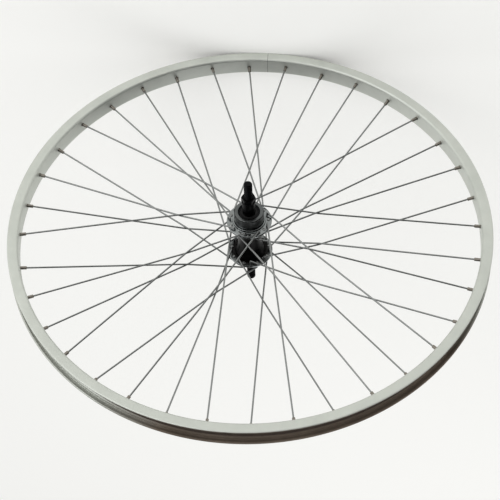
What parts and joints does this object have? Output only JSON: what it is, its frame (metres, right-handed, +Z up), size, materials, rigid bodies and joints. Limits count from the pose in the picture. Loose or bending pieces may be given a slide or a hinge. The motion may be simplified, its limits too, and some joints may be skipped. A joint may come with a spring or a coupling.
{
  "type": "bicycle wheel",
  "caption": "Spoked rear bicycle wheel without a tyre: an aluminium rim laced by crossing wire spokes to a flanged hub that takes a screw-on freewheel and turns on a solid axle.",
  "frame": {"origin": "wheel centre: on the axle, midway between the rim's side walls and midway along the axle", "axes": "+Y along the axle, away from the drive side; +Z up, from the axle through the valve hole; +X across the wheel, level"},
  "size_m": [0.5709, 0.174, 0.571],
  "materials": {
    "rim_aluminium": "satin, drawn and polished",
    "strip_rubber": "matt",
    "spoke_steel": "drawn wire",
    "nipple_metal": "tarnished nickel plate",
    "hub_aluminium": "polished",
    "axle_steel": "blackened steel",
    "bearing_steel": "ground",
    "seal_rubber": "matt"
  },
  "bodies": {
    "axle_set": {"axle": "axle_steel", "axle_sleeve": "axle_steel", "drive_bearing_inner_ring": "bearing_steel", "plain_bearing_inner_ring": "bearing_steel", "drive_spacer": "axle_steel", "plain_spacer": "axle_steel", "drive_lock_washer": "axle_steel", "plain_lock_washer": "axle_steel", "drive_locknut": "axle_steel", "plain_locknut": "axle_steel"},
    "wheel": {"rim": "rim_aluminium", "rim_strip": "strip_rubber", "spoke_01": "spoke_steel", "spoke_02": "spoke_steel", "spoke_03": "spoke_steel", "spoke_04": "spoke_steel", "spoke_05": "spoke_steel", "spoke_06": "spoke_steel", "spoke_07": "spoke_steel", "spoke_08": "spoke_steel", "spoke_09": "spoke_steel", "spoke_10": "spoke_steel", "spoke_11": "spoke_steel", "spoke_12": "spoke_steel", "spoke_13": "spoke_steel", "spoke_14": "spoke_steel", "spoke_15": "spoke_steel", "spoke_16": "spoke_steel", "spoke_17": "spoke_steel", "spoke_18": "spoke_steel", "spoke_19": "spoke_steel", "spoke_20": "spoke_steel", "spoke_21": "spoke_steel", "spoke_22": "spoke_steel", "spoke_23": "spoke_steel", "spoke_24": "spoke_steel", "spoke_25": "spoke_steel", "spoke_26": "spoke_steel", "spoke_27": "spoke_steel", "spoke_28": "spoke_steel", "spoke_29": "spoke_steel", "spoke_30": "spoke_steel", "spoke_31": "spoke_steel", "spoke_32": "spoke_steel", "spoke_33": "spoke_steel", "spoke_34": "spoke_steel", "spoke_35": "spoke_steel", "spoke_36": "spoke_steel", "nipples": "nipple_metal", "hub_shell": "hub_aluminium", "drive_flange": "hub_aluminium", "plain_flange": "hub_aluminium", "drive_bearing_outer_ring": "bearing_steel", "plain_bearing_outer_ring": "bearing_steel", "drive_bearing_seal": "seal_rubber", "plain_bearing_seal": "seal_rubber"},
    "drive_balls": {"drive_bearing_balls": "bearing_steel"},
    "plain_balls": {"plain_bearing_balls": "bearing_steel"}
  },
  "joints": [
    {"name": "wheel_spin", "type": "hinge", "parent": "axle_set", "child": "wheel", "pos_m": [0, 0, 0], "axis": [0, 1, 0], "continuous": true},
    {"name": "drive_balls_roll", "type": "hinge", "parent": "axle_set", "child": "drive_balls", "pos_m": [0, 0, 0], "axis": [0, 1, 0], "continuous": true},
    {"name": "plain_balls_roll", "type": "hinge", "parent": "axle_set", "child": "plain_balls", "pos_m": [0, 0, 0], "axis": [0, 1, 0], "continuous": true}
  ],
  "couplings": [
    {"joint": "drive_balls_roll", "follows": "wheel_spin", "ratio": 0.62673},
    {"joint": "plain_balls_roll", "follows": "wheel_spin", "ratio": 0.62673}
  ]
}
